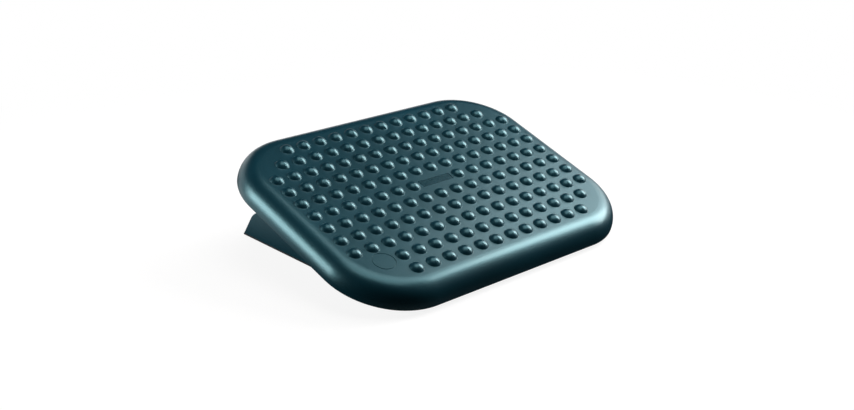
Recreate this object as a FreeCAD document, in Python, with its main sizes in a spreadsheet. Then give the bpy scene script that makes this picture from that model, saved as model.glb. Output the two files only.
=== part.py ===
"""Massage footrest: a tilting, studded tread platform on a low base.

The platform is a moulded tray, open below, that rocks on a steel axle carried by two side cheeks.
Two cross rails join the cheeks, and rubber pads under the platform land on them at each end of the tilt.
+X runs across the footrest, +Y away from the user and +Z up. The origin is on the floor, at the middle
of the whole footrest's outline as it stands with its platform tipped towards the user.
"""

import FreeCAD, Part
import math
import os
import Sketcher

Vector = FreeCAD.Vector
Rotation = FreeCAD.Rotation
Placement = FreeCAD.Placement

SIZES = {
    # Tread platform: a tray with a rolled rim, seen from above
    "tread_width": 452.0,
    "tread_depth": 333.0,
    "corner_radius": 92.0,
    "rim_roll": 26.0,
    "rim_height": 28.0,
    "lip_round": 0.8,
    "tread_wall": 3.0,
    # Massage bumps: hollow domes on a square grid, with the corners left out
    "bump_pitch": 25.4,
    "bump_columns": 16,
    "bump_rows": 11,
    "bump_radius": 9.2,
    "bump_height": 5.5,
    "bump_wall": 2.6,
    "bump_foot_round": 0.6,
    # Ribs under the tread
    "rib_thickness": 2.0,
    "rib_depth": 10.0,
    # Blank plate let into the middle of the tread, and the plain sunk disc in its front left corner
    "plate_length": 51.0,
    "plate_width": 12.6,
    "plate_recess": 1.0,
    "plate_thickness": 0.6,
    "plate_gap": 0.15,
    "disc_radius": 14.6,
    "disc_depth": 0.5,
    # Tilt: where the axle runs under the tread, and how far the platform tips each way from level
    "pivot_drop": 30.0,
    "pivot_setback": 15.0,
    "pivot_height": 60.8,
    "front_tilt": 18.5,
    "back_tilt": 10.0,
    # Side cheeks
    "cheek_span": 334.0,
    "cheek_thickness": 5.0,
    "cheek_half_length": 161.0,
    "shoulder_reach": 140.0,
    "shoulder_height": 33.0,
    "shoulder_round": 30.0,
    "cheek_crown_radius": 285.0,
    "toe_reach": 137.0,
    "nose_reach": 150.0,
    "nose_height": 15.0,
    "nose_round": 8.0,
    "cheek_edge_round": 1.2,
    "pivot_boss_radius": 14.0,
    "pivot_boss_height": 3.0,
    "flange_width": 21.0,
    "flange_thickness": 4.0,
    "flange_front_reach": 132.0,
    "flange_rear_reach": 150.0,
    "gusset_width": 16.0,
    "gusset_height": 38.0,
    "gusset_thickness": 3.0,
    # Rubber foot strips under the cheeks, held by studs through the flanges
    "strip_thickness": 2.0,
    "stud_pitch": 56.0,
    "stud_count": 5,
    "stud_radius": 3.0,
    "stud_clearance": 0.1,
    "stud_head_radius": 3.8,
    "stud_head_height": 1.2,
    "tread_groove_width": 1.5,
    "tread_groove_depth": 0.7,
    "tread_groove_count": 4,
    "tread_groove_end_gap": 3.0,
    # Cross rails: channels open below, with webs across and screw bosses at the ends
    "rail_reach": 112.0,
    "rail_width": 26.0,
    "rail_top": 34.0,
    "rail_wall": 2.5,
    "rail_edge_round": 2.2,
    "rail_end_gap": 0.3,
    "rail_boss_radius": 4.2,
    "rail_screw_spacing": 11.2,
    "rail_web_pitch": 38.1,
    "rail_web_count": 7,
    "rail_web_thickness": 1.8,
    # Axle with its thrust washers, outer washers, clips and end caps
    "axle_radius": 5.0,
    "axle_overhang": 8.0,
    "axle_chamfer": 0.8,
    "running_fit": 0.06,
    "seat_fit": 0.04,
    "side_gap": 0.25,
    "thrust_washer_thickness": 1.5,
    "thrust_washer_radius": 9.5,
    "outer_washer_thickness": 1.0,
    "outer_washer_radius": 8.6,
    "clip_thickness": 1.0,
    "clip_radius": 8.0,
    "clip_mouth": 6.4,
    "clip_groove_depth": 1.0,
    "clip_play": 0.1,
    "cap_radius": 11.5,
    "cap_wall": 1.6,
    "cap_crown": 2.2,
    # Bushes and brackets that hang the platform on the axle
    "bush_wall": 1.5,
    "bush_flange_thickness": 1.5,
    "bush_flange_radius": 9.5,
    "ear_thickness": 10.0,
    "ear_radius": 12.5,
    "bracket_width": 34.0,
    "bracket_half_length": 34.0,
    "bracket_plate_thickness": 4.0,
    "bracket_boss_length": 10.0,
    "bracket_boss_radius": 4.0,
    "bracket_web_thickness": 4.0,
    "bracket_web_reach": 20.0,
    "bracket_web_drop": 14.0,
    "bracket_screw_spacing_across": 20.0,
    "bracket_screw_spacing_along": 52.0,
    # Pan head screws, the same all over
    "screw_radius": 1.7,
    "screw_length": 12.0,
    "screw_fit": 0.05,
    "screw_clearance": 0.4,
    "screw_head_radius": 3.6,
    "screw_head_height": 2.2,
    "screw_head_clearance": 0.4,
    "screw_head_taper_share": 0.5,
    "screw_tip_share": 0.25,
    "screw_slot_length": 4.2,
    "screw_slot_width": 0.9,
    "screw_slot_depth": 1.2,
    # Rubber stop pads pressed into bosses under the tread
    "pad_radius": 7.0,
    "pad_collar": 3.0,
    "pad_stem_radius": 2.5,
    "pad_stem_length": 5.0,
    "pad_boss_radius": 5.0,
    "pad_column_steps": 3,
    "stop_gap": 0.3,
    # One overrun for every cutting solid
    "overrun": 5.0,
}

RIB_STEPS_ACROSS = (-4, -2, 0, 2, 4)
OUTER_RIB_STEPS = 7
RIB_STEPS_ALONG = (-4.5, -1.5, 1.5, 4.5)
CORNER_BUMPS_LEFT_OUT = 2
PLATE_BUMPS_LEFT_OUT = 1
DISC_COLUMN_STEPS = -6.6
DISC_ROW_STEPS = -4.0
HALVES = (-0.5, 0.5)
GUSSET_STEPS = (-1, 0, 1)
UPRIGHT_SHARE = 0.999
LEVEL_SHARE = 1e-6
SIDES = {"left": -1, "right": 1}
ENDS = {"front": -1, "rear": 1}


class Size:
    """A size that carries its number and the sheet formula that gives it."""

    def __init__(self, number, formula):
        self.number = number
        self.formula = formula

    def __add__(self, other):
        other = as_size(other)
        return Size(self.number + other.number, f"({self.formula} + {other.formula})")

    def __sub__(self, other):
        other = as_size(other)
        return Size(self.number - other.number, f"({self.formula} - {other.formula})")

    def __mul__(self, factor):
        factor = as_size(factor)
        return Size(self.number * factor.number, f"({self.formula} * {factor.formula})")

    def __truediv__(self, divisor):
        divisor = as_size(divisor)
        return Size(self.number / divisor.number, f"({self.formula} / {divisor.formula})")

    def __neg__(self):
        return Size(-self.number, f"(0 - {self.formula})")


def as_size(value):
    """A plain number, as a Size."""
    if isinstance(value, Size):
        return value
    return Size(float(value), f"({float(value)!r})")


def sine(angle):
    return Size(math.sin(math.radians(angle.number)), f"sin({angle.formula})")


def cosine(angle):
    return Size(math.cos(math.radians(angle.number)), f"cos({angle.formula})")


def root(value):
    return Size(math.sqrt(value.number), f"sqrt({value.formula})")


doc = FreeCAD.newDocument("massage_footrest")
sheet = doc.addObject("Spreadsheet::Sheet", "Sizes")
for row, (alias, value) in enumerate(SIZES.items(), start=1):
    sheet.set(f"A{row}", alias)
    sheet.set(f"B{row}", str(value))
    sheet.setAlias(f"B{row}", alias)
doc.recompute()
nodes = []


def size(alias):
    """A driving dimension, read back from the sheet."""
    return Size(float(sheet.get(alias)), f"Sizes.{alias}")


def count(alias):
    return int(sheet.get(alias))


def bind(thing, **sizes):
    """Binds each named property of thing to the sheet."""
    for name, value in sizes.items():
        thing.setExpression(name, as_size(value).formula)


def place_in_base(thing):
    """Sets a piece, drawn with the axle over its origin, on the floor under the axle."""
    thing.Placement = Placement(Vector(0, pivot_y.number, 0), Rotation())


def place_in_platform(thing, spot=Vector()):
    """Tips a piece, drawn level about a spot measured from the axle, to the resting tilt."""
    centre = Vector(0, pivot_y.number, size("pivot_height").number)
    tipped = Placement(centre, Rotation(Vector(1, 0, 0), size("front_tilt").number))
    thing.Placement = tipped * Placement(spot, Rotation())


def keep(thing, label):
    """Names a finished sub-part, so that it is written out."""
    thing.Label = label
    nodes.append(thing)
    return thing


def sketch_on(body, plane, height=None):
    """A sketch on one of the body's origin planes, or at a height above it."""
    made = body.newObject("Sketcher::SketchObject", "Sketch")
    support = [f for f in body.Origin.OriginFeatures if f.Role == plane]
    made.AttachmentSupport = [(support[0], "")]
    made.MapMode = "FlatFace"
    if height is not None:
        made.setExpression("AttachmentOffset.Base.z", height.formula)
        made.AttachmentOffset = Placement(Vector(0, 0, height.number), Rotation())
    return made


def pin(sketch, curve, end, across, up):
    """Fixes one point of a sketch curve at sheet sizes from the sketch's origin."""
    for kind, value in (("DistanceX", as_size(across)), ("DistanceY", as_size(up))):
        index = sketch.addConstraint(Sketcher.Constraint(kind, -1, 1, curve, end, value.number))
        sketch.setExpression(f"Constraints[{index}]", value.formula)


def arc_through(start, end, radius):
    """The part circle that bulges to the right of the way from start to end."""
    chord = end - start
    height = math.sqrt(radius**2 - (chord.Length / 2) ** 2)
    centre = (start + end) / 2 + Vector(-chord.y, chord.x, 0) / chord.Length * height
    first = math.atan2(start.y - centre.y, start.x - centre.x)
    last = math.atan2(end.y - centre.y, end.x - centre.x)
    return Part.ArcOfCircle(Part.Circle(centre, Vector(0, 0, 1), radius), first, last)


def draw_outline(sketch, corners, arcs=None):
    """A closed outline, anticlockwise through its corners. arcs gives the radius of each curved side."""
    arcs = arcs or {}
    first = sketch.GeometryCount
    points = [Vector(as_size(x).number, as_size(y).number, 0) for x, y in corners]
    for side, start in enumerate(points):
        end = points[(side + 1) % len(points)]
        if side in arcs:
            sketch.addGeometry(arc_through(start, end, arcs[side].number), False)
        else:
            sketch.addGeometry(Part.LineSegment(start, end), False)
    for side, (x, y) in enumerate(corners):
        following = first + (side + 1) % len(points)
        sketch.addConstraint(Sketcher.Constraint("Coincident", first + side, 2, following, 1))
        pin(sketch, first + side, 1, x, y)
        if side in arcs:
            bend = Sketcher.Constraint("Radius", first + side, arcs[side].number)
            index = sketch.addConstraint(bend)
            sketch.setExpression(f"Constraints[{index}]", arcs[side].formula)


def draw_circle(sketch, x, y, radius):
    centre = Vector(as_size(x).number, as_size(y).number, 0)
    curve = sketch.addGeometry(Part.Circle(centre, Vector(0, 0, 1), radius.number), False)
    pin(sketch, curve, 3, x, y)
    index = sketch.addConstraint(Sketcher.Constraint("Radius", curve, radius.number))
    sketch.setExpression(f"Constraints[{index}]", radius.formula)


def rectangle(left, low, right, high):
    return [(left, low), (right, low), (right, high), (left, high)]


def pad(body, sketch, length):
    made = body.newObject("PartDesign::Pad", "Pad")
    made.Profile = sketch
    bind(made, Length=length)
    return made


def revolve(body, sketch, axis):
    made = body.newObject("PartDesign::Revolution", "Revolution")
    made.Profile = sketch
    made.ReferenceAxis = (sketch, [axis])
    made.Angle = 360
    return made


def round_edges(body, radius, wanted):
    """Rounds the edges of a body's last feature that wanted picks."""
    doc.recompute()
    base = body.Tip
    edges = base.Shape.Edges
    picked = [f"Edge{i}" for i, edge in enumerate(edges, start=1) if wanted(edge)]
    made = body.newObject("PartDesign::Fillet", "Rounded")
    made.Base = (base, picked)
    bind(made, Radius=radius)


def new_body(name):
    return doc.addObject("PartDesign::Body", name)


def box(name, low, high):
    """A Part::Box between two corners given as sheet sizes."""
    made = doc.addObject("Part::Box", name)
    low = [as_size(value) for value in low]
    high = [as_size(value) for value in high]
    bind(made, Length=high[0] - low[0], Width=high[1] - low[1], Height=high[2] - low[2])
    for letter, value in zip("xyz", low):
        made.setExpression(f"Placement.Base.{letter}", value.formula)
    return made


def cylinder(name, x, y, z, radius, height):
    """An upright Part::Cylinder that stands on the point x, y, z."""
    made = doc.addObject("Part::Cylinder", name)
    bind(made, Radius=radius, Height=height)
    for letter, value in zip("xyz", (x, y, z)):
        made.setExpression(f"Placement.Base.{letter}", as_size(value).formula)
    return made


def fuse(name, shapes):
    made = doc.addObject("Part::MultiFuse", name)
    made.Shapes = shapes
    return made


def cut(name, base, tool):
    made = doc.addObject("Part::Cut", name)
    made.Base = base
    made.Tool = tool
    return made


def fillet(name, base, radius, wanted):
    """Rounds the edges of base that wanted picks."""
    doc.recompute()
    made = doc.addObject("Part::Fillet", name)
    made.Base = base
    picked = [i for i, edge in enumerate(base.Shape.Edges, start=1) if wanted(edge)]
    made.Edges = [(index, radius.number, radius.number) for index in picked]
    return made


def copies(name, source, places):
    """One feature that holds a separate copy of a finished solid at each place."""
    doc.recompute()
    made = doc.addObject("Part::Feature", name)
    made.Shape = Part.makeCompound([source.Shape.transformed(p.toMatrix()) for p in places])
    return made


# Places that follow from the driving sizes, measured from the axle.

# The platform is drawn level, with the axle at its origin.
tread_level = size("pivot_drop")
skin_level = tread_level - size("tread_wall")
rim_level = tread_level - size("rim_height")
tread_middle = -size("pivot_setback")
half_width = size("tread_width") / 2
half_depth = size("tread_depth") / 2
pitch = size("bump_pitch")
bump_ball_radius = (size("bump_radius") * size("bump_radius") + size("bump_height") * size("bump_height")) / (
    size("bump_height") * 2
)
bump_ball_level = tread_level + size("bump_height") - bump_ball_radius

# The stations along the axle, from the cheek's outer face inwards and outwards.
cheek_outer = size("cheek_span") / 2
cheek_inner = cheek_outer - size("cheek_thickness")
boss_face = cheek_inner - size("pivot_boss_height")
thrust_outer = boss_face - size("side_gap")
thrust_inner = thrust_outer - size("thrust_washer_thickness")
bush_face = thrust_inner - size("side_gap")
ear_outer = bush_face - size("bush_flange_thickness")
ear_inner = ear_outer - size("ear_thickness")
washer_inner = cheek_outer + size("clip_play")
washer_outer = washer_inner + size("outer_washer_thickness")
clip_inner = washer_outer + size("clip_play")
clip_outer = clip_inner + size("clip_thickness")
axle_end = cheek_outer + size("axle_overhang")
axle_bore = size("axle_radius") + size("running_fit")
bush_outer = axle_bore + size("bush_wall")

# The bracket under the tread.
bracket_top = skin_level - size("bracket_boss_length")
bracket_low = bracket_top - size("bracket_plate_thickness")
bracket_inner = ear_outer - size("bracket_width")
bracket_middle = (ear_outer + bracket_inner) / 2
pilot_radius = size("screw_radius") + size("screw_fit")

# The base stands on its foot strips, with its flange above them.
flange_low = size("strip_thickness")
flange_top = flange_low + size("flange_thickness")
flange_inner = cheek_inner - size("flange_width")
stud_line = (cheek_inner + flange_inner) / 2

# The outline's middle lies over the origin: the rolled rim reaches furthest forwards, the cheeks back.
roll_reach = half_depth - size("rim_roll") + size("pivot_setback")
roll_drop = size("pivot_drop") - size("rim_roll")
front_reach = (
    roll_reach * cosine(size("front_tilt")) + roll_drop * sine(size("front_tilt")) + size("rim_roll")
)
pivot_y = (front_reach - size("cheek_half_length")) / 2


def bump_places():
    """Centres of the bumps, from the tread's middle: a grid without its corners, disc and plate."""
    columns = count("bump_columns")
    rows = count("bump_rows")
    disc_column = round(DISC_COLUMN_STEPS + (columns - 1) / 2)
    disc_row = round(DISC_ROW_STEPS + (rows - 1) / 2)
    for column in range(columns):
        for row in range(rows):
            from_side = min(column, columns - 1 - column)
            from_end = min(row, rows - 1 - row)
            in_corner = from_side + from_end < CORNER_BUMPS_LEFT_OUT
            from_middle = abs(column - (columns - 1) / 2)
            on_plate = row == (rows - 1) / 2 and from_middle < PLATE_BUMPS_LEFT_OUT
            on_disc = column == disc_column and row == disc_row
            if not (in_corner or on_plate or on_disc):
                yield column - (columns - 1) / 2, row - (rows - 1) / 2


def balls(name, radius):
    """One feature with a ball of the given radius under every bump."""
    made = doc.addObject("Part::Feature", name)
    centre = [
        Vector(
            pitch.number * across,
            tread_middle.number + pitch.number * along,
            bump_ball_level.number,
        )
        for across, along in bump_places()
    ]
    made.Shape = Part.makeCompound([Part.makeSphere(radius.number, c) for c in centre])
    return made


def rolled_slab(name, inset, low, high):
    """A slab with the tread's rounded outline and a rolled upper edge, inset all round."""
    blank = box(
        name + "_blank",
        (inset - half_width, tread_middle - half_depth + inset, low),
        (half_width - inset, tread_middle + half_depth - inset, high),
    )
    upright = fillet(
        name + "_corners",
        blank,
        size("corner_radius") - inset,
        lambda edge: abs(edge.tangentAt(edge.FirstParameter).z) > UPRIGHT_SHARE,
    )
    top = high.number
    return fillet(name, upright, size("rim_roll") - inset, lambda edge: lies_at(edge, top))


def lies_at(edge, level):
    """Whether the whole edge lies at one level."""
    play = size("tread_width").number * LEVEL_SHARE
    return abs(edge.BoundBox.ZMin - level) < play and abs(edge.BoundBox.ZMax - level) < play


def stop_place(end):
    """Where the ball end of a stop pad lies, level, so that it lands on its rail at full tilt."""
    tilt = size("front_tilt") if end == "front" else size("back_tilt")
    drop = size("rail_top") + size("stop_gap") + size("pad_radius") - size("pivot_height")
    reach = size("rail_reach") * cosine(tilt) - drop * sine(tilt)
    level = size("rail_reach") * sine(tilt) + drop * cosine(tilt)
    return reach * ENDS[end], level


def stop_across(side):
    return pitch * size("pad_column_steps") * SIDES[side]


def screw_spots(side):
    """Centres of a bracket's four screws."""
    for across in HALVES:
        for along in HALVES:
            yield (
                (bracket_middle + size("bracket_screw_spacing_across") * across) * SIDES[side],
                size("bracket_screw_spacing_along") * along,
            )


def tread_ribs():
    """Long and cross ribs, as solids that stand through the tray's hollow."""
    rib_level = skin_level - size("rib_depth")
    top = tread_level
    half = size("rib_thickness") / 2
    outer_rib = pitch * OUTER_RIB_STEPS
    made = []
    for step in RIB_STEPS_ACROSS:
        across = pitch * step
        ends = (tread_middle - half_depth, tread_middle + half_depth)
        made.append(box("LongRib", (across - half, ends[0], rib_level), (across + half, ends[1], top)))
    for side in SIDES.values():
        across = outer_rib * side
        reach = half_depth - size("corner_radius")
        made.append(
            box(
                "OuterRib",
                (across - half, tread_middle - reach, rib_level),
                (across + half, tread_middle + reach, top),
            )
        )
    for step in RIB_STEPS_ALONG:
        along = tread_middle + pitch * step
        reach = pitch * max(RIB_STEPS_ACROSS)
        made.append(box("CrossRib", (-reach, along - half, rib_level), (reach, along + half, top)))
    for side in SIDES.values():
        for step in RIB_STEPS_ALONG[1:-1]:
            along = tread_middle + pitch * step
            low = outer_rib if side > 0 else -half_width
            high = half_width if side > 0 else -outer_rib
            made.append(box("SideRib", (low, along - half, rib_level), (high, along + half, top)))
    return made


def tread_bosses():
    """Screw bosses for the brackets and sockets for the stop pads."""
    made = []
    for side in SIDES:
        for x, y in screw_spots(side):
            height = tread_level - bracket_top
            made.append(cylinder("ScrewBoss", x, y, bracket_top, size("bracket_boss_radius"), height))
        for end in ENDS:
            reach, level = stop_place(end)
            low = level + size("pad_collar")
            height = tread_level - low
            made.append(cylinder("PadBoss", stop_across(side), reach, low, size("pad_boss_radius"), height))
    return made


def tread_holes():
    """Pilot holes in the bosses, the recess for the blank plate, and the sunk disc."""
    made = []
    for side in SIDES:
        for x, y in screw_spots(side):
            low = bracket_top - size("overrun")
            height = size("screw_length") - size("bracket_plate_thickness") + size("overrun")
            made.append(cylinder("Pilot", x, y, low, pilot_radius, height))
        for end in ENDS:
            reach, level = stop_place(end)
            low = level + size("pad_collar") - size("overrun")
            radius = size("pad_stem_radius") + size("seat_fit")
            height = size("pad_stem_length") + size("overrun")
            made.append(cylinder("Socket", stop_across(side), reach, low, radius, height))
    half_plate = size("plate_length") / 2
    plate_reach = size("plate_width") / 2
    made.append(
        box(
            "PlateRecess",
            (-half_plate, tread_middle - plate_reach, tread_level - size("plate_recess")),
            (half_plate, tread_middle + plate_reach, tread_level + size("overrun")),
        )
    )
    disc_x = pitch * DISC_COLUMN_STEPS
    disc_y = tread_middle + pitch * DISC_ROW_STEPS
    low = tread_level - size("disc_depth")
    made.append(cylinder("Disc", disc_x, disc_y, low, size("disc_radius"), size("overrun")))
    return made


def build_tread_platform():
    rolled = rolled_slab("Outside", as_size(0), rim_level, tread_level)
    lip = rim_level.number
    outer = fillet("Lipped", rolled, size("lip_round"), lambda edge: lies_at(edge, lip))
    domed = fuse("Domed", [outer, balls("Domes", bump_ball_radius)])
    level = tread_level.number
    foot = size("bump_radius").number * math.pi * 2
    studded = fillet(
        "Studded",
        domed,
        size("bump_foot_round"),
        lambda edge: lies_at(edge, level) and edge.Length < foot + size("bump_pitch").number,
    )
    hollow = rolled_slab("Inside", size("tread_wall"), rim_level - size("overrun"), skin_level)
    dimpled = fuse("Dimpled", [hollow, balls("Dimples", bump_ball_radius - size("bump_wall"))])
    core = cut("Core", dimpled, fuse("Stiffening", tread_ribs() + tread_bosses()))
    tray = cut("Tray", studded, core)
    platform = cut("TreadPlatform", tray, fuse("Holes", tread_holes()))
    place_in_platform(platform)
    return keep(platform, "tread_platform")


def build_centre_plate():
    half_plate = size("plate_length") / 2 - size("plate_gap")
    reach = size("plate_width") / 2 - size("plate_gap")
    low = tread_level - size("plate_recess")
    body = new_body("CentrePlate")
    sketch = sketch_on(body, "XY_Plane", low)
    corners = rectangle(-half_plate, tread_middle - reach, half_plate, tread_middle + reach)
    draw_outline(sketch, corners)
    pad(body, sketch, size("plate_thickness"))
    place_in_platform(body)
    keep(body, "centre_plate")


def span(side, near, far):
    """The lower end of a stretch of the axle line, on the left or the right."""
    return near if SIDES[side] > 0 else -far


def build_bracket(side):
    """Plate with four screw holes, an ear for the bush and two webs between them."""
    turned = SIDES[side]
    body = new_body("Bracket")
    plate = sketch_on(body, "XY_Plane", bracket_low)
    low = span(side, bracket_inner, ear_outer)
    high = low + size("bracket_width")
    reach = size("bracket_half_length")
    draw_outline(plate, rectangle(low, -reach, high, reach))
    for x, y in screw_spots(side):
        draw_circle(plate, x, y, size("screw_radius") + size("screw_clearance"))
    pad(body, plate, size("bracket_plate_thickness"))
    ear = sketch_on(body, "YZ_Plane", span(side, ear_inner, ear_outer))
    radius = size("ear_radius")
    ear_corners = [(radius, 0), (radius, bracket_low), (-radius, bracket_low), (-radius, 0)]
    round_side = len(ear_corners) - 1
    draw_ear(ear, ear_corners, round_side, radius)
    draw_circle(ear, 0, 0, bush_outer + size("seat_fit"))
    pad(body, ear, size("ear_thickness"))
    tip = bracket_low - size("bracket_web_drop")
    corners = [
        (ear_inner * turned, bracket_low),
        ((ear_inner - size("bracket_web_reach")) * turned, bracket_low),
        (ear_inner * turned, tip),
    ]
    for high_side in (radius, size("bracket_web_thickness") - radius):
        web = sketch_on(body, "XZ_Plane", -high_side)
        draw_outline(web, corners if turned > 0 else corners[::-1])
        pad(body, web, size("bracket_web_thickness"))
    place_in_platform(body)
    keep(body, f"{side}_pivot_bracket")


def draw_ear(sketch, corners, round_side, radius):
    """An ear's outline: straight flanks and a half-round end about the sketch's origin."""
    for first, last in zip(corners, corners[1:]):
        start = Vector(as_size(first[0]).number, as_size(first[1]).number, 0)
        end = Vector(as_size(last[0]).number, as_size(last[1]).number, 0)
        sketch.addGeometry(Part.LineSegment(start, end), False)
    circle = Part.Circle(Vector(0, 0, 0), Vector(0, 0, 1), radius.number)
    sketch.addGeometry(Part.ArcOfCircle(circle, math.pi, 2 * math.pi), False)
    for line in range(round_side):
        sketch.addConstraint(Sketcher.Constraint("Coincident", line, 2, line + 1, 1))
    sketch.addConstraint(Sketcher.Constraint("Coincident", round_side, 2, 0, 1))
    for line, (x, y) in enumerate(corners):
        pin(sketch, line, 1, x, y)
    sketch.addConstraint(Sketcher.Constraint("PointOnObject", round_side, 3, -1))


def turned_piece(name, corners, axis="H_Axis", plane="XY_Plane"):
    """A piece turned from a closed outline, about X unless told otherwise."""
    body = new_body(name)
    sketch = sketch_on(body, plane)
    draw_outline(sketch, corners)
    revolve(body, sketch, axis)
    return body


def ring_outline(side, near, far, inner, outer):
    """The half section of a plain ring on the axle."""
    low = span(side, near, far)
    return rectangle(low, inner, low + (far - near), outer)


def build_bush(side):
    turned = SIDES[side]
    corners = [
        (ear_inner * turned, axle_bore),
        (bush_face * turned, axle_bore),
        (bush_face * turned, size("bush_flange_radius")),
        (ear_outer * turned, size("bush_flange_radius")),
        (ear_outer * turned, bush_outer),
        (ear_inner * turned, bush_outer),
    ]
    body = turned_piece("Bush", corners if turned > 0 else corners[::-1])
    place_in_platform(body)
    keep(body, f"{side}_pivot_bush")


def build_axle():
    groove_inner = clip_inner - size("clip_play")
    groove_outer = clip_outer + size("clip_play")
    groove_radius = size("axle_radius") - size("clip_groove_depth")
    shoulder = axle_end - size("axle_chamfer")
    tip_radius = size("axle_radius") - size("axle_chamfer")
    half = [
        (axle_end, 0),
        (axle_end, tip_radius),
        (shoulder, size("axle_radius")),
        (groove_outer, size("axle_radius")),
        (groove_outer, groove_radius),
        (groove_inner, groove_radius),
        (groove_inner, size("axle_radius")),
    ]
    mirrored = [(-x, y) for x, y in half[::-1]]
    body = turned_piece("Axle", half + mirrored)
    place_on_axle(body)
    keep(body, "pivot_axle")


def place_on_axle(thing):
    """Sets a base piece, drawn about the origin, on the axle's line."""
    thing.Placement = Placement(Vector(0, pivot_y.number, size("pivot_height").number), Rotation())


def build_washers(side):
    thrust = ring_outline(side, thrust_inner, thrust_outer, axle_bore, size("thrust_washer_radius"))
    body = turned_piece("ThrustWasher", thrust)
    place_on_axle(body)
    keep(body, f"{side}_thrust_washer")
    outer = ring_outline(side, washer_inner, washer_outer, axle_bore, size("outer_washer_radius"))
    body = turned_piece("OuterWasher", outer)
    place_on_axle(body)
    keep(body, f"{side}_outer_washer")


def build_clip(side):
    """A spring clip: a ring with an open mouth that snaps into the axle's groove from below."""
    body = new_body("Clip")
    seat = size("axle_radius") - size("clip_groove_depth") + size("seat_fit")
    half_mouth = size("clip_mouth") / 2
    outer = size("clip_radius")
    mouth_seat = root(seat * seat - half_mouth * half_mouth)
    mouth_outer = root(outer * outer - half_mouth * half_mouth)
    sketch = sketch_on(body, "YZ_Plane", span(side, clip_inner, clip_outer))
    inner_right = Vector(half_mouth.number, -mouth_seat.number, 0)
    outer_right = Vector(half_mouth.number, -mouth_outer.number, 0)
    inner_left = Vector(-half_mouth.number, -mouth_seat.number, 0)
    outer_left = Vector(-half_mouth.number, -mouth_outer.number, 0)
    sketch.addGeometry(Part.LineSegment(inner_right, outer_right), False)
    sketch.addGeometry(open_ring(outer.number, outer_right, outer_left), False)
    sketch.addGeometry(Part.LineSegment(outer_left, inner_left), False)
    sketch.addGeometry(open_ring(seat.number, inner_right, inner_left), False)
    for first, first_end, second, second_end in ((0, 2, 1, 1), (1, 2, 2, 1), (2, 2, 3, 2), (3, 1, 0, 1)):
        sketch.addConstraint(Sketcher.Constraint("Coincident", first, first_end, second, second_end))
    pin(sketch, 0, 1, half_mouth, -mouth_seat)
    pin(sketch, 0, 2, half_mouth, -mouth_outer)
    pin(sketch, 2, 1, -half_mouth, -mouth_outer)
    pin(sketch, 2, 2, -half_mouth, -mouth_seat)
    for curve, radius in ((1, outer), (3, seat)):
        index = sketch.addConstraint(Sketcher.Constraint("Radius", curve, radius.number))
        sketch.setExpression(f"Constraints[{index}]", radius.formula)
    pad(body, sketch, size("clip_thickness"))
    place_on_axle(body)
    keep(body, f"{side}_axle_clip")


def open_ring(radius, start, end):
    """The long way round a circle about the origin, anticlockwise from start to end."""
    first = math.atan2(start.y, start.x)
    last = math.atan2(end.y, end.x) + 2 * math.pi
    return Part.ArcOfCircle(Part.Circle(Vector(0, 0, 0), Vector(0, 0, 1), radius), first, last)


def build_cap(side):
    """A moulded cap that pushes onto the axle's end and hides the clip."""
    turned = SIDES[side]
    face = cheek_outer + size("clip_play")
    grip_inner = clip_outer + size("clip_play") * 2
    grip_radius = axle_bore + size("cap_wall")
    rim_inner = size("cap_radius") - size("cap_wall")
    crown_inner = axle_end + size("clip_play")
    crown_outer = crown_inner + size("cap_crown")
    crown_radius = size("cap_radius") - size("cap_crown")
    corners = [
        (face, rim_inner),
        (face, size("cap_radius")),
        (crown_inner, size("cap_radius")),
        (crown_outer, crown_radius),
        (crown_outer, 0),
        (crown_inner, 0),
        (crown_inner, axle_bore),
        (grip_inner, axle_bore),
        (grip_inner, grip_radius),
        (crown_inner - size("cap_wall"), grip_radius),
        (crown_inner - size("cap_wall"), rim_inner),
    ]
    corners = [(x * turned, y) for x, y in corners]
    body = turned_piece("Cap", corners[::-1] if turned > 0 else corners)
    place_on_axle(body)
    keep(body, f"{side}_axle_cap")


def rail_screw_spots(side):
    """Centres of the screws that hold both rails' ends to one flange."""
    for end in ENDS.values():
        for along in HALVES:
            reach = size("rail_reach") * end + size("rail_screw_spacing") * along
            yield stud_line * SIDES[side], reach


def stud_spots(side):
    """Centres of a foot strip's studs, the last one behind the rear rail."""
    studs = count("stud_count")
    for index in range(studs):
        yield stud_line * SIDES[side], size("stud_pitch") * (index - studs / 2 + 1)


def build_cheek(side):
    """Side panel with an upturned toe, a boss for the axle, a foot flange and gussets between them."""
    body = new_body("Cheek")
    panel = sketch_on(body, "YZ_Plane", span(side, cheek_inner, cheek_outer))
    length = size("cheek_half_length")
    shoulder = size("shoulder_reach")
    height = size("shoulder_height")
    nose = size("nose_height")
    corners = [
        (-size("toe_reach"), flange_low),
        (length, flange_low),
        (shoulder, height),
        (-shoulder, height),
        (-size("nose_reach"), nose),
    ]
    draw_outline(panel, corners, {2: size("cheek_crown_radius")})
    draw_circle(panel, 0, size("pivot_height"), size("axle_radius") + size("seat_fit"))
    pad(body, panel, size("cheek_thickness"))
    round_edges(body, size("shoulder_round"), lambda edge: lies_at(edge, height.number))
    round_edges(body, size("nose_round"), lambda edge: lies_at(edge, nose.number))
    face = cheek_outer.number * SIDES[side]
    round_edges(body, size("cheek_edge_round"), lambda edge: is_outer_arc(edge, face))
    boss = sketch_on(body, "YZ_Plane", span(side, boss_face, cheek_inner))
    draw_circle(boss, 0, size("pivot_height"), size("pivot_boss_radius"))
    draw_circle(boss, 0, size("pivot_height"), size("axle_radius") + size("seat_fit"))
    pad(body, boss, size("pivot_boss_height"))
    build_flange(body, side)
    build_gussets(body, side)
    place_in_base(body)
    keep(body, f"{side}_cheek")


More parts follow.
